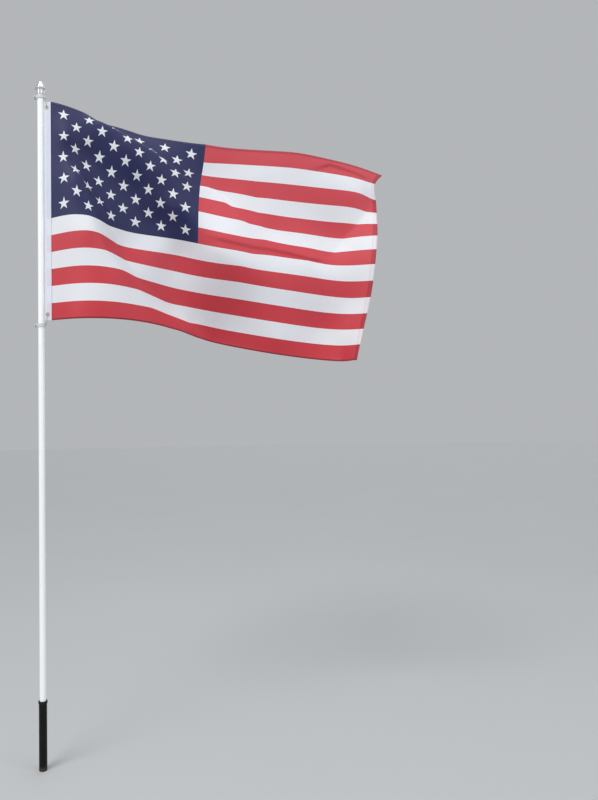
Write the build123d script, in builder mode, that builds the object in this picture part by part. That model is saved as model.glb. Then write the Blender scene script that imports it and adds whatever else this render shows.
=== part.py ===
from build123d import *
import os
from math import hypot

# Sectional flagpole standing in a ground sleeve, with a flag flying from two clamp rings.
# Millimetres. Ground level is z = 0, the pole stands on the Z axis, the flag flies towards +X.

# Two radii closer than this are the same edge's
radius_match = 0.01

# Ground sleeve and its driven point
sleeve_above_ground = 254
sleeve_length = 440
sleeve_od = 32
sleeve_wall = 1.8
rim_chamfer = 0.5
point_od = 35.4
point_collar_height = 26
point_floor = 3
point_cone_length = 45
point_shoulder_round = 9
point_tip_r = 2.2
point_slip_gap = 0.05
point_screw_height = 12
point_screw_head_r = 3
point_screw_head_height = 1.8
point_screw_shank_r = 1.6
point_screw_inside = 0.6
screw_hole_gap = 0.1

# Flanged collar in the mouth of the sleeve
collar_flange_od = 35.6
collar_flange_height = 9.5
collar_plug_length = 17
collar_plug_gap = 0.1
collar_pole_gap = 0.2

# Pole sections, joined by swaged ends
pole_od = 25.4
pole_wall = 1.0
section_length = 1008
swage_length = 50
swage_gap = 0.1
swage_taper = 4
tube_end_chamfer = 0.4

# Acorn finial, heights measured from the bottom of its skirt
finial_socket_depth = 28
finial_socket_gap = 0.05
skirt_od = 30.8
skirt_lip_od = 28
skirt_lip_height = 1.4
skirt_height = 17
rim_od = 45
rim_height = 25.2
rim_round = 1.6
dome_od = 39.6
dome_height = 31
dome_waist_od = 27.8
dome_waist_height = 44
finial_height = 57.5

# Clamp rings: a split band with two ears, a thumbscrew and nut, and a lug for the wire clip
ring_below_finial = 10
ring_height = 15
band_od = 31.4
band_grip_gap = 0.05
band_round = 0.9
slit_width = 2
ear_thickness = 3
ear_height = 12
ear_screw_x = 23
screw_r = 2
knob_r = 6.8
knob_thickness = 4
knob_round = 0.8
nut_across_flats = 7
nut_thickness = 3.2
screw_end = 1.5
lug_pivot_x = 18.8
lug_r = 2.6
lug_width = 8

# Wire clips
wire_r = 0.9
wire_pivot_gap = 0.1
wire_end_y = 1.0
clip_root_half = 5.6
clip_tip_half = 4.6
clip_root_bend = 1.4
clip_tip_bend = 2.2
clip_seat_gap = 0.3

# Flag: canvas header, brass grommets and cloth
flag_hoist = 914
flag_fly = 1524
header_x = 14.5
header_width = 28
header_thickness = 2.6
header_below_ring = 20
grommet_inset = 24.5
grommet_from_edge = 11.5
grommet_hole_r = 4.75
grommet_barrel_wall = 1.1
grommet_flange_r = 8
grommet_flange_thickness = 0.8
grommet_round = 0.3
grommet_fit_gap = 0.05
cloth_thickness = 2.4
# Upright strips of the cloth: their distance along it from the header; how much shorter and lower than flat cloth
# the top edge hangs, then the foot; and how far the strip lies towards +Y at seven even heights from the top
hanging_strips = [
    (0, 0, 0, 0, 0, (0, 0, 0, 0, 0, 0, 0)),
    (60, 5, 10, 10, 5, (10, -20, -20, -25, -25, -25, -35)),
    (120, 15, 25, 15, 5, (30, 0, -30, -40, -45, -45, -60)),
    (180, 25, 35, 15, 5, (65, 35, 20, -35, -55, -60, -65)),
    (240, 35, 50, 15, 10, (105, 50, 60, 20, -35, -50, -60)),
    (350, 45, 60, 25, 10, (140, 65, 110, 105, 80, 5, -20)),
    (460, 50, 80, 45, 15, (165, 75, 110, 145, 130, 115, 40)),
    (580, 50, 95, 75, 30, (170, 135, 90, 135, 180, 195, 115)),
    (700, 50, 110, 115, 45, (180, 185, 140, 115, 165, 215, 215)),
    (820, 55, 125, 150, 65, (195, 195, 160, 110, 130, 210, 265)),
    (940, 55, 135, 160, 95, (195, 195, 190, 140, 130, 185, 235)),
    (1060, 55, 145, 165, 125, (190, 195, 200, 160, 145, 165, 195)),
    (1180, 55, 165, 165, 145, (195, 200, 210, 175, 165, 180, 190)),
    (1300, 55, 185, 165, 160, (210, 200, 220, 190, 175, 200, 190)),
    (1410, 55, 210, 190, 170, (235, 215, 195, 160, 160, 160, 145)),
    (1496, 60, 225, 245, 175, (265, 235, 170, 130, 135, 120, 70)),
]

# Places that follow from the driving dimensions
sleeve_r = sleeve_od / 2
sleeve_bore_r = sleeve_r - sleeve_wall
sleeve_top = sleeve_above_ground
sleeve_foot = sleeve_top - sleeve_length
point_r = point_od / 2
point_cavity_r = sleeve_r + point_slip_gap
cone_top = sleeve_foot - point_floor
point_tip = cone_top - point_cone_length
point_collar_top = cone_top + point_collar_height
point_screw_z = cone_top + point_screw_height
pole_r = pole_od / 2
pole_bore_r = pole_r - pole_wall
swage_r = pole_bore_r - swage_gap
section_rise = section_length - swage_length
lower_foot = sleeve_foot
middle_foot = lower_foot + section_rise
upper_foot = middle_foot + section_rise
upper_top = upper_foot + section_length
finial_z = upper_top - finial_socket_depth
top_ring_z = finial_z - ring_below_finial
header_top = top_ring_z - header_below_ring
header_foot = header_top - flag_hoist
bottom_ring_z = header_foot - header_below_ring
band_r = band_od / 2
ear_face = slit_width / 2 + ear_thickness
grommet_x = header_x + grommet_from_edge
cloth_x = header_x + header_width
cloth_scale = (flag_fly - header_width) / hanging_strips[-1][0]

os.makedirs("parts", exist_ok=True)


def finish(part, name):
    part.label = name
    export_step(part, "parts/" + name + ".step")


def facing_left(x, z):
    """Plane whose normal points to -X, for a screw that goes in from the left."""
    return Plane(origin=(x, 0, z), x_dir=(0, 1, 0), z_dir=(-1, 0, 0))


# Sleeve tube
with BuildPart() as sleeve_tube:
    with BuildSketch(Plane.XY.offset(sleeve_foot)):
        Circle(sleeve_r)
        Circle(sleeve_bore_r, mode=Mode.SUBTRACT)
    extrude(amount=sleeve_length)
    chamfer(sleeve_tube.edges().filter_by(GeomType.CIRCLE).group_by(Axis.Z)[-1], rim_chamfer)
    with BuildSketch(facing_left(0, point_screw_z)):
        Circle(point_screw_shank_r + screw_hole_gap)
    extrude(amount=point_od, mode=Mode.SUBTRACT)
finish(sleeve_tube.part, "sleeve_tube")

# Driven point: a collar that slips over the tube's foot, closed by a blunt cone
with BuildPart() as drive_point:
    with BuildSketch(Plane.XZ):
        with BuildLine():
            Polyline(
                (0, point_tip),
                (point_tip_r, point_tip),
                (point_r, cone_top),
                (point_r, point_collar_top),
                (point_cavity_r, point_collar_top),
                (point_cavity_r, sleeve_foot),
                (0, sleeve_foot),
                close=True,
            )
        make_face()
    revolve(axis=Axis.Z)
    rings = drive_point.edges().filter_by(GeomType.CIRCLE).group_by(Axis.Z)
    fillet(rings[0], point_tip_r * 0.7)
    fillet(drive_point.edges().filter_by_position(Axis.Z, cone_top, cone_top), point_shoulder_round)
    chamfer(drive_point.edges().group_by(Axis.Z)[-1].sort_by(SortBy.LENGTH)[-1], rim_chamfer)
    with BuildSketch(facing_left(0, point_screw_z)):
        Circle(point_screw_shank_r + screw_hole_gap)
    extrude(amount=point_od, mode=Mode.SUBTRACT)
finish(drive_point.part, "drive_point")

# Screw that holds the point on the tube
with BuildPart() as point_screw:
    with BuildSketch(facing_left(-point_r, point_screw_z)):
        Circle(point_screw_head_r)
    extrude(amount=point_screw_head_height)
    fillet(point_screw.edges().group_by(Axis.X)[0], point_screw_head_height * 0.6)
    with BuildSketch(facing_left(-point_r, point_screw_z)):
        Circle(point_screw_shank_r)
    extrude(amount=-(point_r - sleeve_bore_r + point_screw_inside))
finish(point_screw.part, "point_screw")

# Flanged collar that centres the pole in the sleeve
with BuildPart() as sleeve_collar:
    with BuildSketch(Plane.XY.offset(sleeve_top)):
        Circle(collar_flange_od / 2)
    extrude(amount=collar_flange_height)
    fillet(sleeve_collar.edges().group_by(Axis.Z)[-1], rim_chamfer * 2)
    with BuildSketch(Plane.XY.offset(sleeve_top)):
        Circle(sleeve_bore_r - collar_plug_gap)
    extrude(amount=-collar_plug_length)
    with BuildSketch(Plane.XY.offset(sleeve_top - collar_plug_length)):
        Circle(pole_r + collar_pole_gap)
    extrude(amount=collar_plug_length + collar_flange_height, mode=Mode.SUBTRACT)
finish(sleeve_collar.part, "sleeve_collar")


def pole_section(foot, swaged):
    """Tube section; a swaged one has a narrower top that fits the section above it."""
    shoulder = foot + (section_rise if swaged else section_length)
    outline = [(pole_bore_r, foot), (pole_r, foot), (pole_r, shoulder)]
    if swaged:
        outline += [
            (swage_r, shoulder),
            (swage_r, shoulder + swage_length),
            (swage_r - pole_wall, shoulder + swage_length),
            (swage_r - pole_wall, shoulder - pole_wall),
            (pole_bore_r, shoulder - pole_wall - swage_taper),
        ]
    else:
        outline += [(pole_bore_r, shoulder)]
    with BuildPart() as section:
        with BuildSketch(Plane.XZ):
            with BuildLine():
                Polyline(*outline, close=True)
            make_face()
        revolve(axis=Axis.Z)
        outer = section.edges().filter_by(GeomType.CIRCLE).filter_by(lambda e: abs(e.radius - pole_r) < radius_match)
        chamfer(outer, tube_end_chamfer)
    return section.part


finish(pole_section(lower_foot, True), "lower_section")
finish(pole_section(middle_foot, True), "middle_section")
finish(pole_section(upper_foot, False), "upper_section")

# Acorn finial: dome, proud rim, and a skirt that slips over the top of the pole
with BuildPart() as finial:
    with BuildSketch(Plane.XZ):
        with BuildLine():
            dome = Spline(
                (0, finial_z + finial_height),
                (dome_waist_od / 2, finial_z + dome_waist_height),
                (dome_od / 2, finial_z + dome_height),
                tangents=[(1, 0), (0.3, -1)],
            )
            Polyline(
                dome @ 1,
                (rim_od / 2, finial_z + rim_height),
                (skirt_od / 2, finial_z + skirt_height),
                (skirt_od / 2, finial_z + skirt_lip_height),
                (skirt_lip_od / 2, finial_z),
                (pole_r + finial_socket_gap, finial_z),
                (pole_r + finial_socket_gap, upper_top),
                (0, upper_top),
                dome @ 0,
            )
        make_face()
    revolve(axis=Axis.Z)
    rim = finial.edges().filter_by(GeomType.CIRCLE).filter_by(lambda e: abs(e.radius - rim_od / 2) < radius_match)
    fillet(rim, rim_round)
finish(finial.part, "finial")


def clamp_ring(z):
    """Split band with two ears on the -X side and a clip lug on the +X side."""
    with BuildPart() as ring:
        with BuildSketch(Plane.XY.offset(z - ring_height / 2)):
            Circle(band_r)
        extrude(amount=ring_height)
        fillet(ring.edges().filter_by(GeomType.CIRCLE), band_round)
        with BuildSketch(Plane.XZ):
            with Locations((-ear_screw_x / 2, z)):
                Rectangle(ear_screw_x, ear_height)
            with Locations((-ear_screw_x, z)):
                Circle(ear_height / 2)
        extrude(amount=ear_face, both=True)
        with BuildSketch(Plane.XZ):
            with Locations((lug_pivot_x / 2, z)):
                Rectangle(lug_pivot_x, lug_r * 2)
            with Locations((lug_pivot_x, z)):
                Circle(lug_r)
        extrude(amount=lug_width / 2, both=True)
        with BuildSketch(Plane.XY.offset(z - ring_height / 2)):
            Circle(pole_r + band_grip_gap)
            with Locations((-band_od, 0)):
                Rectangle(band_od * 2, slit_width)
        extrude(amount=ring_height, mode=Mode.SUBTRACT)
        with BuildSketch(Plane.XZ):
            with Locations((-ear_screw_x, z)):
                Circle(screw_r + screw_hole_gap)
            with Locations((lug_pivot_x, z)):
                Circle(wire_r + wire_pivot_gap)
        extrude(amount=band_od, both=True, mode=Mode.SUBTRACT)
    return ring.part


def thumbscrew(z):
    """Round flat head on the +Y ear, shank through both ears and the nut."""
    with BuildPart() as screw:
        with BuildSketch(Plane.XZ.offset(-ear_face)):
            with Locations((-ear_screw_x, z)):
                Circle(knob_r)
        extrude(amount=-knob_thickness)
        fillet(screw.edges().filter_by(GeomType.CIRCLE), knob_round)
        with BuildSketch(Plane.XZ.offset(-ear_face)):
            with Locations((-ear_screw_x, z)):
                Circle(screw_r)
        extrude(amount=2 * ear_face + nut_thickness + screw_end)
    return screw.part


def ring_nut(z):
    """Hexagon nut on the -Y ear."""
    with BuildPart() as nut:
        with BuildSketch(Plane.XZ.offset(ear_face)):
            with Locations((-ear_screw_x, z)):
                RegularPolygon(nut_across_flats / 2, 6, major_radius=False)
                Circle(screw_r + screw_hole_gap, mode=Mode.SUBTRACT)
        extrude(amount=nut_thickness)
    return nut.part


def wire_clip(pivot_z, grommet_z):
    """Wire loop from the lug's pivot hole, through the grommet and back."""
    span = hypot(grommet_x - lug_pivot_x, grommet_z - pivot_z)
    reach = span - (grommet_hole_r - wire_r - clip_seat_gap)
    bar_x = lug_pivot_x + (grommet_x - lug_pivot_x) * reach / span
    bar_z = pivot_z + (grommet_z - pivot_z) * reach / span
    start = (lug_pivot_x, -wire_end_y, pivot_z)
    with BuildPart() as clip:
        with BuildLine():
            FilletPolyline(
                start,
                (lug_pivot_x, -clip_root_half, pivot_z),
                (bar_x, -clip_tip_half, bar_z),
                (bar_x, clip_tip_half, bar_z),
                (lug_pivot_x, clip_root_half, pivot_z),
                (lug_pivot_x, wire_end_y, pivot_z),
                radius=[clip_root_bend, clip_tip_bend, clip_tip_bend, clip_root_bend],
            )
        with BuildSketch(Plane(origin=start, z_dir=(0, -1, 0))):
            Circle(wire_r)
        sweep()
    return clip.part


def grommet(z):
    """Brass eyelet set through the header, its two flanges flat on the canvas."""
    barrel_r = grommet_hole_r + grommet_barrel_wall
    half = header_thickness / 2
    with BuildPart() as eyelet:
        with BuildSketch(Plane.XZ):
            with Locations((grommet_x, z)):
                Circle(grommet_flange_r)
        extrude(amount=half + grommet_flange_thickness, both=True)
        fillet(eyelet.edges().filter_by(GeomType.CIRCLE), grommet_round)
        with BuildSketch(Plane.XZ):
            with Locations((grommet_x, z)):
                Circle(grommet_flange_r)
                Circle(barrel_r, mode=Mode.SUBTRACT)
        extrude(amount=half, both=True, mode=Mode.SUBTRACT)
        with BuildSketch(Plane.XZ):
            with Locations((grommet_x, z)):
                Circle(grommet_hole_r)
        extrude(amount=half + grommet_flange_thickness, both=True, mode=Mode.SUBTRACT)
    return eyelet.part


top_grommet_z = header_top - grommet_inset
bottom_grommet_z = header_foot + grommet_inset
for end, ring_z, grommet_z in (
    ("top", top_ring_z, top_grommet_z),
    ("bottom", bottom_ring_z, bottom_grommet_z),
):
    finish(clamp_ring(ring_z), end + "_ring")
    finish(thumbscrew(ring_z), end + "_thumbscrew")
    finish(ring_nut(ring_z), end + "_ring_nut")
    finish(wire_clip(ring_z, grommet_z), end + "_clip")
    finish(grommet(grommet_z), end + "_grommet")

# Canvas header along the hoist
with BuildPart() as flag_header:
    with BuildSketch(Plane.XZ):
        with Locations((header_x + header_width / 2, header_foot + flag_hoist / 2)):
            Rectangle(header_width, flag_hoist)
        with Locations((grommet_x, top_grommet_z), (grommet_x, bottom_grommet_z)):
            Circle(grommet_hole_r + grommet_barrel_wall + grommet_fit_gap, mode=Mode.SUBTRACT)
    extrude(amount=header_thickness / 2, both=True)
finish(flag_header.part, "flag_header")

# Flag cloth: lofted through upright strips that follow its folds and its sag
with BuildPart() as flag_cloth:
    for along, top_short, top_sag, foot_short, foot_sag, away in hanging_strips:
        top = Vector(cloth_x + (along - top_short) * cloth_scale, 0, header_top - top_sag * cloth_scale)
        foot = Vector(cloth_x + (along - foot_short) * cloth_scale, 0, header_foot - foot_sag * cloth_scale)
        up = (top - foot).normalized()
        shares = [i / (len(away) - 1) for i in range(len(away))]
        middle = [(y * cloth_scale, -share * (top - foot).length) for y, share in zip(away, shares)]
        with BuildSketch(Plane(origin=top, x_dir=(0, 1, 0), z_dir=Vector(0, 1, 0).cross(up))):
            with BuildLine():
                near = Edge.make_spline([(y - cloth_thickness / 2, z) for y, z in middle], parameters=shares)
                far = Edge.make_spline([(y + cloth_thickness / 2, z) for y, z in middle], parameters=shares)
                add([near, far])
                Line(near @ 0, far @ 0)
                Line(near @ 1, far @ 1)
            make_face()
    loft()
finish(flag_cloth.part, "flag_cloth")
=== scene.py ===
import bpy
import math
import numpy as np
from mathutils import Matrix, Vector


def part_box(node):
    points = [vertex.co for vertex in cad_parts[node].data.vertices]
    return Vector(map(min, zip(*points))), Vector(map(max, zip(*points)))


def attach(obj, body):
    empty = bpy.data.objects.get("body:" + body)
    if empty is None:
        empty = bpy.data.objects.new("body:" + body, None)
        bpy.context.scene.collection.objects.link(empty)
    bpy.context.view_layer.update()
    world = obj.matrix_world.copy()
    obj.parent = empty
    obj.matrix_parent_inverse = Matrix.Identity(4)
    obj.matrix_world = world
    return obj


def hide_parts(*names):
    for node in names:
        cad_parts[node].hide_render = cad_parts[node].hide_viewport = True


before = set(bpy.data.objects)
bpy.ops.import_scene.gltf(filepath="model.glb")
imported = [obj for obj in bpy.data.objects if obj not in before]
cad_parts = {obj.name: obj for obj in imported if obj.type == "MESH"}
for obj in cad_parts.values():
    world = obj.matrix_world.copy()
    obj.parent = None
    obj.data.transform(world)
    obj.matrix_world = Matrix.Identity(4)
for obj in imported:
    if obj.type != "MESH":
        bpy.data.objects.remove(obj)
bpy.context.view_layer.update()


# Ground sleeve: a plain tube in gloss black, driven upright into the ground to take the foot of the pole.
# The enamel has a faint orange peel, and the last centimetres above the ground are dulled by dust.
class Signal:
    """A socket of a material in the making. Arithmetic on signals adds Math nodes beside it."""

    def __init__(self, socket):
        self.socket = socket

    def node(self, kind, settings, sockets, output=0):
        """Adds a node of that kind: its settings first, then the values or signals of its sockets."""
        tree = self.socket.id_data
        made = tree.nodes.new(kind)
        for name, value in settings.items():
            if name == "stops":
                ramp = made.color_ramp.elements
                while len(ramp) < len(value):
                    ramp.new(1.0)
                for stop, (place, level) in zip(ramp, value):
                    stop.position = place
                    stop.color = (level, level, level, 1.0)
            else:
                setattr(made, name, value)
        for name, value in sockets.items():
            if isinstance(value, Signal):
                tree.links.new(value.socket, made.inputs[name])
            else:
                made.inputs[name].default_value = value
        return Signal(made.outputs[output])

    def maths(self, operation, *values):
        """A Math node over the values, or over this signal where none is given."""
        return self.node("ShaderNodeMath", {"operation": operation}, dict(enumerate(values or (self,))))

    def __add__(self, other):
        return self.maths("ADD", self, other)

    def __radd__(self, other):
        return self.maths("ADD", other, self)

    def __sub__(self, other):
        return self.maths("SUBTRACT", self, other)

    def __rsub__(self, other):
        return self.maths("SUBTRACT", other, self)

    def __mul__(self, other):
        return self.maths("MULTIPLY", self, other)

    def __rmul__(self, other):
        return self.maths("MULTIPLY", other, self)

    def __truediv__(self, other):
        return self.maths("DIVIDE", self, other)

    def __lt__(self, other):
        return self.maths("LESS_THAN", self, other)

    def __gt__(self, other):
        return self.maths("GREATER_THAN", self, other)

    def __mod__(self, other):
        return self.maths("FLOORED_MODULO", self, other)

    def most(self, other):
        """The greater of two signals."""
        return self.maths("MAXIMUM", self, other)

    def mix(self, low, high):
        """A colour between two, by this signal from 0 to 1."""
        return self.node("ShaderNodeMix", {"data_type": "RGBA"}, {0: self, 6: low, 7: high}, 2)

    def part(self, axis):
        """One number of a vector signal."""
        return self.node("ShaderNodeSeparateXYZ", {}, {0: self}, axis)

    def noise(self, scale, detail):
        """Cloudy noise from 0 to 1 over a vector signal."""
        return self.node("ShaderNodeTexNoise", {}, {"Vector": self, "Scale": scale, "Detail": detail})

    def ramp(self, *stops):
        """This signal passed through places and levels."""
        return self.node("ShaderNodeValToRGB", {"stops": stops}, {0: self})

    def bump(self, strength, distance):
        """A surface normal from this signal as a height."""
        sockets = {"Strength": strength, "Distance": distance, "Height": self}
        return self.node("ShaderNodeBump", {}, sockets)


def colour(red, green, blue):
    """A screen colour, each part from 0 to 255, as Blender's linear one."""
    parts = [(c / 255 / 12.92 if c < 11 else ((c / 255 + 0.055) / 1.055) ** 2.4) for c in (red, green, blue)]
    return (*parts, 1.0)


def start_material(name):
    """A material with no surface yet: the material, its surface and the place on the piece in metres."""
    material = bpy.data.materials.new(name)
    material.use_nodes = True
    nodes = material.node_tree.nodes
    nodes.clear()
    surface = Signal(nodes.new("ShaderNodeOutputMaterial").inputs["Surface"])
    place = surface.node("ShaderNodeTexCoord", {}, {}, "Object")
    return material, surface, place


def close_material(surface, sockets):
    """Gives a material its Principled surface."""
    shader = surface.node("ShaderNodeBsdfPrincipled", {}, sockets)
    surface.socket.id_data.links.new(shader.socket, surface.socket)


def dress(material, *nodes):
    """Puts a material on nodes of the frame."""
    for node in nodes:
        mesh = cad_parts[node].data
        mesh.materials.clear()
        mesh.materials.append(material)


sleeve_paint, surface, place = start_material("sleeve_enamel")
peel = place.noise(420.0, 2.0)
dust_height = 0.022
dust = (1.0 - place.part("Z") / dust_height).ramp((0.0, 0.0), (1.0, 1.0)) * place.noise(160.0, 4.0)
scuffs = place.noise(38.0, 6.0).ramp((0.52, 0.0), (0.78, 1.0))
close_material(surface, {
    "Base Color": dust.mix(scuffs.mix(colour(6, 6, 7), colour(16, 16, 17)), colour(92, 82, 70)),
    "Roughness": 0.28 + 0.16 * scuffs + 0.4 * dust,
    "Coat Weight": 0.06,
    "Coat Roughness": 0.12,
    "Specular IOR Level": 0.2,
    "Normal": peel.bump(0.12, 0.0002),
})
dress(sleeve_paint, "sleeve_tube")


# Driven point: a moulded plastic tip slipped over the foot of the sleeve and held by one small screw.
# The plastic is satin black, with the fine grain of its mould.
point_plastic, surface, place = start_material("point_plastic")
grain = place.noise(900.0, 3.0)
close_material(surface, {
    "Base Color": place.noise(60.0, 3.0).mix(colour(17, 18, 22), colour(27, 28, 33)),
    "Roughness": 0.42 + 0.16 * place.noise(90.0, 4.0),
    "Normal": grain.bump(0.2, 0.0002),
})
dress(point_plastic, "drive_point")

screw_black, surface, place = start_material("screw_black")
close_material(surface, {
    "Base Color": place.noise(500.0, 3.0).mix(colour(20, 20, 20), colour(44, 43, 41)),
    "Metallic": 0.85,
    "Roughness": 0.35 + 0.25 * place.noise(700.0, 2.0),
})
dress(screw_black, "point_screw")


# Flanged collar: a moulded plastic ring pressed into the mouth of the sleeve, so that the pole stands snug.
# It is a dull black, rubbed a little brighter where the pole slides.
collar_plastic, surface, place = start_material("collar_plastic")
rubbed = place.noise(140.0, 5.0).ramp((0.45, 0.0), (0.8, 1.0))
close_material(surface, {
    "Base Color": rubbed.mix(colour(8, 8, 9), colour(24, 24, 25)),
    "Roughness": 0.5 - 0.14 * rubbed,
    "Specular IOR Level": 0.3,
    "Normal": place.noise(800.0, 3.0).bump(0.18, 0.0002),
})
dress(collar_plastic, "sleeve_collar")


# Pole: three thin steel tubes, powder coated gloss white, each swaged end pushed up into the next section.
# The coat is glossy with a very fine orange peel.
pole_coat, surface, place = start_material("pole_coat")
film = place.noise(7.0, 3.0)
close_material(surface, {
    "Base Color": film.mix(colour(242, 246, 247), colour(249, 252, 252)),
    "Roughness": 0.2 + 0.1 * place.noise(30.0, 4.0),
    "Coat Weight": 0.35,
    "Coat Roughness": 0.08,
    "Normal": place.noise(520.0, 2.0).bump(0.08, 0.0002),
})
dress(pole_coat, "lower_section", "middle_section", "upper_section")


# Finial: a hollow acorn in chrome-plated plastic, slipped over the top of the pole.
# The plating is nearly a mirror, with hairline handling marks.
chrome, surface, place = start_material("finial_chrome")
hairlines = place.node(
    "ShaderNodeTexNoise", {}, {"Vector": place, "Scale": 240.0, "Detail": 6.0, "Distortion": 1.2}
)
close_material(surface, {
    "Base Color": hairlines.mix(colour(214, 214, 217), colour(236, 236, 238)),
    "Metallic": 1.0,
    "Roughness": 0.05 + 0.1 * hairlines.ramp((0.5, 0.0), (0.8, 1.0)),
    "Normal": place.noise(60.0, 1.0).bump(0.02, 0.0002),
})
dress(chrome, "finial")


# Clamp rings: milky plastic bands closed by a thumbscrew through their ears, each with a steel wire clip.
# The knob is natural plastic, the nut is zinc plated and the wire is bright steel with drawing lines.
ring_plastic, surface, place = start_material("ring_plastic")
close_material(surface, {
    "Base Color": place.noise(120.0, 4.0).mix(colour(196, 199, 202), colour(220, 222, 224)),
    "Roughness": 0.3 + 0.12 * place.noise(300.0, 3.0),
    "Subsurface Weight": 0.25,
    "Subsurface Radius": (0.004, 0.004, 0.004),
    "Subsurface Scale": 1.0,
    "Normal": place.noise(600.0, 2.0).bump(0.1, 0.0002),
})
dress(ring_plastic, "top_ring", "bottom_ring")

knob_plastic, surface, place = start_material("knob_plastic")
close_material(surface, {
    "Base Color": place.noise(200.0, 4.0).mix(colour(192, 166, 148), colour(214, 190, 172)),
    "Roughness": 0.42 + 0.12 * place.noise(400.0, 3.0),
    "Normal": place.noise(900.0, 2.0).bump(0.15, 0.0002),
})
dress(knob_plastic, "top_thumbscrew", "bottom_thumbscrew")

zinc, surface, place = start_material("nut_zinc")
close_material(surface, {
    "Base Color": place.noise(700.0, 3.0).mix(colour(150, 152, 156), colour(190, 192, 196)),
    "Metallic": 1.0,
    "Roughness": 0.28 + 0.2 * place.noise(900.0, 3.0),
})
dress(zinc, "top_ring_nut", "bottom_ring_nut")

spring_wire, surface, place = start_material("spring_wire")
stretched = place.node("ShaderNodeMapping", {}, {"Vector": place, "Scale": (3.0, 3.0, 0.4)})
drawn = stretched.noise(900.0, 3.0)
close_material(surface, {
    "Base Color": drawn.mix(colour(140, 140, 144), colour(196, 196, 200)),
    "Metallic": 1.0,
    "Roughness": 0.22 + 0.18 * drawn,
    "Normal": drawn.bump(0.15, 0.0001),
})
dress(spring_wire, "top_clip", "bottom_clip")


# Flag cloth: printed nylon, 3 by 5 feet, sewn to the header and flying in a light wind.
# It is held by its header only; its folds follow from the places below, and its hems are folded over once.
flag_hoist = 0.914
flag_fly = 1.524
header_width = 0.028
stripe_count = 13
union_stripes = 7
stripe_width = flag_hoist / stripe_count
cloth_length = flag_fly - header_width
header_low, header_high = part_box("flag_header")
seam_x = header_high.x
flag_top = header_high.z
# A place of the cloth, by stripes down and mm along, then how it hangs: mm from the header, towards +Y
# and down
hanging_places = [
    (0, 240, 205, 95, 40),
    (0, 420, 370, 160, 70),
    (0, 695, 645, 180, 110),
    (0, 1100, 1045, 190, 150),
    (0, 1496, 1445, 275, 225),
    (1, 240, 215, 50, 90),
    (1, 695, 635, 180, 190),
    (1, 1496, 1405, 250, 275),
    (2, 60, 60, -20, 150),
    (2, 360, 320, 65, 175),
    (2, 695, 625, 180, 245),
    (2, 1400, 1320, 205, 330),
    (2, 1496, 1405, 245, 350),
    (3, 60, 55, -10, 205),
    (3, 180, 145, 40, 225),
    (3, 500, 435, 80, 270),
    (3, 900, 820, 190, 335),
    (4, 240, 195, 60, 305),
    (4, 420, 355, 110, 315),
    (4, 720, 635, 160, 360),
    (5, 60, 60, -25, 340),
    (5, 120, 115, -35, 355),
    (5, 600, 515, 85, 425),
    (5, 1050, 950, 190, 495),
    (5, 1300, 1195, 215, 525),
    (5, 1496, 1380, 155, 540),
    (6, 360, 295, 95, 450),
    (6, 500, 425, 145, 460),
    (6, 1000, 895, 165, 545),
    (7, 800, 700, 100, 600),
    (7, 950, 840, 130, 620),
    (7, 1200, 1085, 165, 645),
    (7, 1496, 1355, 120, 675),
    (8, 180, 165, -50, 565),
    (8, 360, 295, 75, 590),
    (8, 500, 420, 135, 600),
    (8, 600, 510, 175, 605),
    (8, 900, 785, 115, 675),
    (9, 1400, 1260, 165, 810),
    (10, 300, 275, -15, 715),
    (11, 600, 490, 175, 815),
    (11, 1300, 1145, 200, 935),
    (12, 1100, 940, 175, 980),
    (13, 120, 105, -60, 920),
    (13, 360, 335, -15, 925),
    (13, 600, 520, 130, 945),
    (13, 800, 655, 265, 975),
    (13, 1400, 1215, 155, 1085),
    (13, 1496, 1250, 70, 1090),
]


def pull(places, centres):
    """How strongly each centre of a thin plate pulls each place of the cloth."""
    reach = np.linalg.norm(places[:, None] - centres[None], axis=2)
    return reach**2 * np.log(np.maximum(reach, 1e-9))


def bend_plate(flat, bent, places):
    """The smoothest sheet through the bent points, at any places of the flat cloth."""
    count = len(flat)
    system = np.zeros((count + 3, count + 3))
    system[:count, :count] = pull(flat, flat)
    system[:count, count:] = np.c_[np.ones(count), flat]
    system[count:, :count] = system[:count, count:].T
    weights = np.linalg.solve(system, np.r_[bent, np.zeros((3, 3))])
    return pull(places, flat) @ weights[:count] + np.c_[np.ones(len(places)), places] @ weights[count:]


seam_points = [(0.0, stripe * stripe_width) for stripe in range(0, stripe_count + 1)]
flat_points = seam_points + [(along / 1000, stripe * stripe_width) for stripe, along, *_ in hanging_places]
bent_points = [(seam_x, 0.0, flag_top - down) for _, down in seam_points]
bent_points += [
    (seam_x + out / 1000, away / 1000, flag_top - drop / 1000) for _, _, out, away, drop in hanging_places
]
flat_points = np.array(flat_points)
bent_points = np.array(bent_points)

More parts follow.
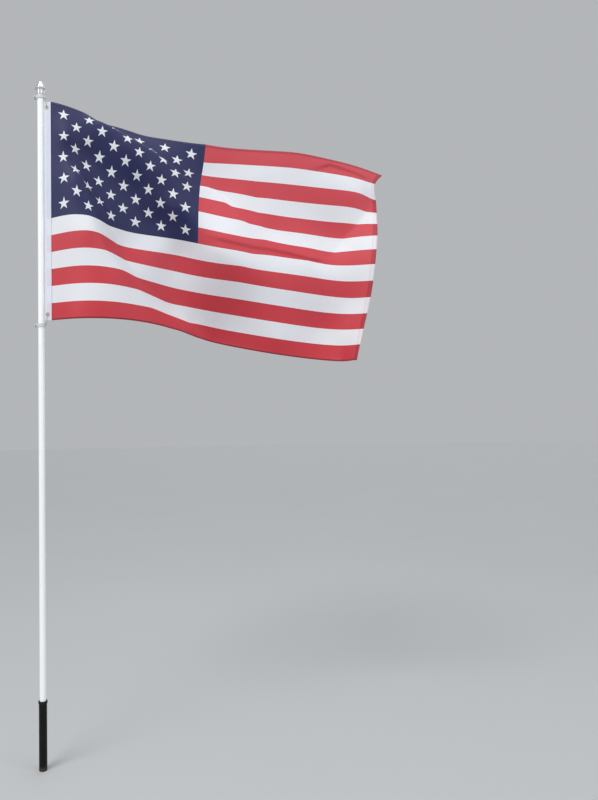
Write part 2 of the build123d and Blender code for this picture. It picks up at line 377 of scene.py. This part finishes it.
# Sharp folds: path in mm along the cloth and down it, width of the bend, step towards +Y of the cloth above
# the path, then the ridge or valley along the path, towards +Y and down
sharp_folds = [
    ([(140, 0), (290, 48), (463, 98), (560, 150), (640, 200), (700, 250)], 16, 20, 0, 0),
    ([(150, 300), (230, 430), (310, 540), (345, 633), (395, 703), (550, 773), (680, 844), (740, 914)],
     8, 0, 15, 6),
    ([(150, 470), (232, 562), (250, 633), (320, 703), (395, 773), (450, 844), (540, 914)], 12, 0, -8, -6),
    ([(60, 250), (120, 300), (240, 400), (300, 470)], 12, 9, -5, 0),
    ([(930, 120), (945, 211), (960, 281), (1000, 352), (1060, 430)], 8, 0, 9, 3),
    ([(700, 195), (780, 240), (880, 330), (960, 380)], 12, 9, 0, 0),
    ([(1200, 500), (1315, 422), (1350, 352), (1406, 281), (1441, 211), (1490, 120)], 8, 0, 14, 5),
    ([(720, 452), (960, 462), (1100, 468), (1200, 480), (1330, 470)], 10, -8, 0, 0),
    ([(1150, 75), (1200, 55), (1250, 28), (1350, 40), (1496, 60)], 8, -6, 4, 0),
]
fold_reach = 0.045
fold_fade = 0.09
fold_draw = 0.6


def measure_to_path(flat, path):
    """How far each place lies above a path, and its nearest point on the path from the path's ends."""
    distance = np.full(len(flat), np.inf)
    above = np.ones(len(flat))
    run = np.zeros(len(flat))
    passed = 0.0
    for start, end in zip(path[:-1], path[1:]):
        step = end - start
        length = np.linalg.norm(step)
        share = np.clip((flat - start) @ step / length**2, 0, 1)
        apart = flat - start - share[:, None] * step
        closer = np.linalg.norm(apart, axis=1) < distance
        distance[closer] = np.linalg.norm(apart, axis=1)[closer]
        above[closer] = np.sign(step[1] * apart[:, 0] - step[0] * apart[:, 1])[closer]
        run[closer] = (passed + share * length)[closer]
        passed += length
    return distance * above, np.minimum(run, passed - run)


def hang(flat):
    """Where the places of the flat cloth hang, with the sharp folds pressed in."""
    bent = bend_plate(flat_points, bent_points, flat)
    for path_mm, width, step, away, drop in sharp_folds:
        path = np.array(path_mm) / 1000
        gap, from_end = measure_to_path(flat, path)
        near = np.clip(from_end / fold_fade, 0, 1) * np.exp(-np.hypot(gap, width / 1000) / fold_reach)
        side = near * np.tanh(gap / (width / 1000)) * step / 1000
        run, fall = (path[-1] - path[0]) / np.linalg.norm(path[-1] - path[0])
        bent[:, 0] -= fold_draw * abs(side) * np.sign(gap) * fall
        bent[:, 1] += side + near * away / 1000
        bent[:, 2] -= fold_draw * abs(side) * np.sign(gap) * run + near * drop / 1000
    return bent


hem_width = 0.009
fly_hem_width = 0.022
hem_step = 0.0015
cell = 0.0072
least_cell = 0.45


def spaced(length, hems):
    """Grid lines across the cloth, even but for a close pair at the inner edge of each hem."""
    lines = list(np.linspace(0.0, length, round(length / cell) + 1))
    for edge in hems:
        lines = [line for line in lines if abs(line - edge) > cell * least_cell]
        lines += [edge - hem_step / 2, edge + hem_step / 2]
    return np.array(sorted(lines))


along_lines = spaced(cloth_length, [cloth_length - fly_hem_width])
down_lines = spaced(flag_hoist, [hem_width, flag_hoist - hem_width])
along_grid, down_grid = np.meshgrid(along_lines, down_lines)
flat_grid = np.c_[along_grid.ravel(), down_grid.ravel()]
hung_grid = hang(flat_grid)

bpy.ops.object.select_all(action="DESELECT")
bpy.ops.mesh.primitive_grid_add(
    x_subdivisions=len(along_lines) - 1, y_subdivisions=len(down_lines) - 1, size=1
)
flag = bpy.context.object
flag.name = "flag_sheet"
start = np.array([v.co for v in flag.data.vertices])
column = np.round((start[:, 0] + 0.5) * (len(along_lines) - 1)).astype(int)
row = np.round((0.5 - start[:, 1]) * (len(down_lines) - 1)).astype(int)
order = row * len(along_lines) + column
flag.data.vertices.foreach_set("co", hung_grid[order].ravel())
flag.data.uv_layers.new(name="cloth")
for other in [layer for layer in flag.data.uv_layers if layer.name != "cloth"]:
    flag.data.uv_layers.remove(other)
cloth_map = flag.data.uv_layers["cloth"]
corner_vertex = np.zeros(len(flag.data.loops), int)
flag.data.loops.foreach_get("vertex_index", corner_vertex)
share = flat_grid[order] / (cloth_length, flag_hoist)
cloth_map.data.foreach_set("uv", np.c_[share[:, 0], 1 - share[:, 1]][corner_vertex].ravel())

hem_group = flag.vertex_groups.new(name="hem")
flat_order = flat_grid[order]
in_hem = (
    (flat_order[:, 0] > cloth_length - fly_hem_width)
    | (flat_order[:, 1] < hem_width)
    | (flat_order[:, 1] > flag_hoist - hem_width)
)
hem_group.add([int(i) for i in np.nonzero(in_hem)[0]], 1.0, "REPLACE")
bpy.ops.object.shade_smooth()
thicken = flag.modifiers.new("thickness", "SOLIDIFY")
sheet_thickness = 0.0016
single_layer_share = 0.4
thicken.thickness = sheet_thickness
thicken.offset = 0.0
thicken.vertex_group = "hem"
thicken.thickness_vertex_group = single_layer_share
bpy.ops.object.modifier_apply(modifier="thickness")

cloth, surface, place = start_material("flag_cloth")
where = surface.node("ShaderNodeUVMap", {"uv_map": "cloth"}, {})
along = where.part("X") * cloth_length
down = (1.0 - where.part("Y")) * flag_hoist
stripe_number = down / stripe_width
red_stripe = stripe_number % 2.0 < 1.0
union_share = 0.76
union_length = union_share * flag_hoist
union_height = union_stripes * stripe_width
in_union = (along < union_length) * (down < union_height)
union_columns = 12
union_rows = 10
star_step_x = union_length / union_columns
star_step_y = union_height / union_rows
star_radius = 0.0262
star_waist = 0.382
inner_radius = star_radius * star_waist
turn = math.pi / 5


def star_field(first):
    """Mask of the stars of every other row and column, counted from the first."""
    column = along / star_step_x
    row = down / star_step_y
    nearest_column = ((column - first) / 2.0).maths("ROUND") * 2.0 + first
    nearest_row = ((row - first) / 2.0).maths("ROUND") * 2.0 + first
    side = (column - nearest_column) * star_step_x
    up = (nearest_row - row) * star_step_y
    reach = (side * side + up * up).maths("SQRT")
    angle = side.maths("ARCTAN2", side, up)
    sector = (angle + turn) % (2 * turn) - turn
    folded = sector.maths("ABSOLUTE")
    edge_side = inner_radius * math.sin(turn)
    edge_back = star_radius - inner_radius * math.cos(turn)
    length = math.hypot(edge_side, edge_back)
    across = reach * folded.maths("COSINE") * (edge_side / length)
    across = across + reach * folded.maths("SINE") * (edge_back / length)
    star = across < star_radius * edge_side / length
    in_columns = (column > first - 0.5) * (column < union_columns + 0.5 - first)
    in_rows = (row > first - 0.5) * (row < union_rows + 0.5 - first)
    return star * (in_columns * in_rows)


stars = star_field(1.0).most(star_field(2.0))
threads = place.noise(1400.0, 2.0)
fade = place.noise(4.0, 3.0)
# Painted sheen: the red is painted paler towards the top of the flag, where the cloth faces the sky, mixed
# with random tone
top_sheen_and_fade = (1.0 - down / flag_hoist) * 0.7 + fade * 0.3
long_hems = (down < hem_width).most(down > flag_hoist - hem_width)
hem_edge = long_hems.most(along > cloth_length - fly_hem_width)
# Painted shade: along the hems the cloth lies double, so red is painted darker and white a little rose
# there, for the light that shines less through two layers
red = (hem_edge * 0.45).mix(top_sheen_and_fade.mix(colour(190, 44, 56), colour(196, 72, 82)), colour(120, 20, 40))
white = (hem_edge * 0.12).mix(fade.mix(colour(216, 217, 222), colour(222, 224, 229)), colour(206, 150, 176))
navy = fade.mix(colour(25, 28, 74), colour(31, 34, 84))
printed = in_union.mix(red_stripe.mix(white, red), stars.mix(navy, white))
weave_wave = 5200.0
weave = (along * weave_wave).maths("SINE") * (down * weave_wave).maths("SINE")
close_material(surface, {
    "Base Color": printed,
    "Roughness": 0.52 + 0.12 * threads,
    "Specular IOR Level": 0.36,
    "Sheen Weight": 0.06,
    "Sheen Roughness": 0.5,
    "Normal": (weave * 0.5 + threads).bump(0.12, 0.0002),
})
flag.data.materials.append(cloth)
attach(flag, "upper_pole")
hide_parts("flag_cloth")


# Header and eyelets: a folded band of white canvas sewn along the hoist, with a brass grommet in each end.
# The canvas is a plain coarse weave; the brass is bright, with a little tarnish.
canvas, surface, place = start_material("header_canvas")
canvas_wave = 7000.0
warp = (place.part("X") * canvas_wave).maths("SINE")
weft = (place.part("Z") * canvas_wave).maths("SINE")
# The cloth's end lies inside the folded band and shows through it faintly
cloth_end = 0.019
stripes_down = (flag_top - place.part("Z")) / stripe_width
beneath_stripes = (stripes_down % 2.0 < 1.0).mix(colour(226, 228, 236), colour(206, 120, 160))
beneath = (stripes_down < union_stripes).mix(beneath_stripes, colour(120, 130, 190))
plain = place.noise(35.0, 4.0).mix(colour(214, 219, 230), colour(224, 228, 236))
close_material(surface, {
    "Base Color": ((place.part("X") > seam_x - cloth_end) * 0.14).mix(plain, beneath),
    "Roughness": 0.78 + 0.1 * place.noise(300.0, 2.0),
    "Normal": (warp * weft).bump(0.3, 0.0003),
})
dress(canvas, "flag_header")

brass, surface, place = start_material("grommet_brass")
tarnish = place.noise(260.0, 5.0).ramp((0.4, 0.0), (0.75, 1.0))
close_material(surface, {
    "Base Color": tarnish.mix(colour(226, 202, 146), colour(176, 144, 92)),
    "Metallic": 1.0,
    "Roughness": 0.2 + 0.25 * tarnish,
})
dress(brass, "top_grommet", "bottom_grommet")


# Lock stitches: thread in rows, white along the header's seam and rose along the hems, seen on both faces.
# Each thread rises from one needle hole and dips into the next, so a row reads as short raised dashes.
stitch_pitch = 0.0036
stitch_points = 3
thread_radius = 0.0002
thread_rise = thread_radius * 0.7


def sew(name, path, outward):
    """Thread along a path, its points three to a stitch, raised outwards between the holes."""
    curve = bpy.data.curves.new(name, "CURVE")
    curve.dimensions = "3D"
    curve.bevel_depth = thread_radius
    curve.bevel_resolution = 0
    curve.use_fill_caps = True
    spline = curve.splines.new("POLY")
    height = np.where(np.arange(len(path)) % stitch_points, thread_rise, -thread_radius)
    raised = path + outward * height[:, None]
    spline.points.add(len(raised) - 1)
    spline.points.foreach_set("co", np.c_[raised, np.ones(len(raised))].ravel())
    thread = bpy.data.objects.new(name, curve)
    bpy.context.scene.collection.objects.link(thread)
    return thread


def sew_cloth(name, start, end):
    """Threads on both faces of the cloth, along a straight line of the flat cloth."""
    count = stitch_points * round(math.dist(start, end) / stitch_pitch)
    flat = np.linspace(start, end, count + 1)
    step = 0.001
    middle = hang(flat)
    normal = np.cross(hang(flat + (step, 0.0)) - middle, hang(flat + (0.0, step)) - middle)
    normal /= np.linalg.norm(normal, axis=1)[:, None]
    return [sew(f"{name}_{side}", middle + normal * way * sheet_thickness / 2, normal * way)
            for side, way in (("near", 1), ("far", -1))]


header_half = (header_high.y - header_low.y) / 2
seam_insets = (0.003, 0.0095)
end_inset = 0.003
rise_count = stitch_points * round(flag_hoist / stitch_pitch) + 1
header_threads = []
for column, inset in enumerate(seam_insets):
    rise = np.linspace(header_low.z + end_inset, header_high.z - end_inset, rise_count)
    for side, way in (("near", -1), ("far", 1)):
        path = np.c_[np.full(len(rise), seam_x - inset), np.full(len(rise), way * header_half), rise]
        header_threads.append(sew(f"header_thread_{column}_{side}", path, np.array((0.0, way, 0.0))))

hem_inset = 0.002
edge_inset = 0.004
top_seam = hem_width - hem_inset
foot_seam = flag_hoist - hem_width + hem_inset
fly_seam = cloth_length - fly_hem_width + hem_inset
fly_edge = cloth_length - edge_inset
hem_seams = {
    "top_hem_thread": ((edge_inset, top_seam), (fly_edge, top_seam)),
    "foot_hem_thread": ((edge_inset, foot_seam), (fly_edge, foot_seam)),
    "fly_thread": ((fly_seam, end_inset), (fly_seam, flag_hoist - end_inset)),
    "fly_edge_thread": ((fly_edge, end_inset), (fly_edge, flag_hoist - end_inset)),
}
hem_threads = [thread for name, (start, end) in hem_seams.items() for thread in sew_cloth(name, start, end)]


def dye_thread(name, dark, light):
    """Thread of one dye, between a dark and a light tone."""
    thread, surface, place = start_material(name)
    close_material(surface, {
        "Base Color": place.noise(900.0, 2.0).mix(dark, light),
        "Roughness": 0.45 + 0.15 * place.noise(1200.0, 2.0),
        "Sheen Weight": 0.3,
    })
    return thread


def join_threads(threads, name, material):
    """The threads of a group as one mesh of that name."""
    bpy.ops.object.select_all(action="DESELECT")
    for thread in threads:
        thread.select_set(True)
    bpy.context.view_layer.objects.active = threads[0]
    bpy.ops.object.convert(target="MESH")
    bpy.ops.object.join()
    joined = bpy.context.object
    joined.name = name
    joined.data.materials.clear()
    joined.data.materials.append(material)
    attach(joined, "upper_pole")
    return joined


thread_white = dye_thread("thread_white", colour(226, 228, 234), colour(240, 241, 244))
thread_rose = dye_thread("thread_rose", colour(150, 92, 108), colour(168, 108, 124))
join_threads(header_threads, "header_stitches", thread_white)
hem_stitches = join_threads(hem_threads, "hem_stitches", thread_rose)


# Studio: a plain pale floor at ground level and soft light, with the camera where the photo was taken.
# The camera stands low and looks up a little, slightly off level, its frame shifted as the photo is cropped.
bpy.ops.object.select_all(action="DESELECT")
floor_radius = 120
bpy.ops.mesh.primitive_circle_add(vertices=128, radius=floor_radius, fill_type="NGON")
floor = bpy.context.object
floor.name = "floor"
floor_paint, surface, place = start_material("floor_paint")
close_material(surface, {
    "Base Color": place.noise(0.6, 3.0).mix(colour(182, 184, 186), colour(187, 189, 191)),
    "Roughness": 0.8,
})
floor.data.materials.append(floor_paint)

world = bpy.data.worlds.new("soft_sky")
bpy.context.scene.world = world
world.use_nodes = True
world.node_tree.nodes["Background"].inputs["Color"].default_value = colour(236, 239, 242)
world.node_tree.nodes["Background"].inputs["Strength"].default_value = 0.54

# Each sun: the direction it comes from, its strength, the angle over which it is spread and its colour
suns = {
    "key": ((-0.45, -0.66, 0.9), 1.2, 28, colour(255, 252, 246)),
    "fill": ((0.8, -0.75, 0.35), 0.65, 60, colour(240, 246, 255)),
    "back": ((0.3, 0.9, 0.5), 0.35, 60, colour(240, 246, 255)),
}
for name, (direction, strength, spread, tint) in suns.items():
    sun = bpy.data.lights.new(name, "SUN")
    sun.energy = strength
    sun.angle = math.radians(spread)
    sun.color = tint[:3]
    sun_object = bpy.data.objects.new(name, sun)
    sun_object.rotation_euler = Vector(direction).to_track_quat("Z", "Y").to_euler()
    bpy.context.scene.collection.objects.link(sun_object)

# Soft boxes, which the chrome and the gloss paint show as bright panels: place, size and power
boxes = {
    "left_box": ((-2.4, -2.6, 3.4), 2.4, 42.0),
    "right_box": ((3.2, -1.6, 3.6), 1.6, 16.0),
    "top_box": ((0.2, -0.6, 6.0), 3.4, 42.0),
}
aim = Vector((0.3, 0.0, 2.4))
for name, (spot, size, power) in boxes.items():
    box = bpy.data.lights.new(name, "AREA")
    box.size = size
    box.energy = power
    box_object = bpy.data.objects.new(name, box)
    box_object.location = spot
    box_object.rotation_euler = (aim - Vector(spot)).to_track_quat("-Z", "Y").to_euler()
    bpy.context.scene.collection.objects.link(box_object)

camera_pitch = math.radians(90 + 3.52)
camera_roll = math.radians(-1.05)
camera_data = bpy.data.cameras.new("camera")
camera_data.lens = 29.25
camera_data.sensor_width = 36.0
camera_data.shift_x = 0.136
camera = bpy.data.objects.new("camera", camera_data)
camera.matrix_world = (
    Matrix.Translation((0.598, -2.612, 1.271))
    @ Matrix.Rotation(camera_pitch, 4, "X")
    @ Matrix.Rotation(camera_roll, 4, "Z")
)
bpy.context.scene.collection.objects.link(camera)
bpy.context.scene.camera = camera
bpy.context.scene.view_settings.view_transform = "Standard"
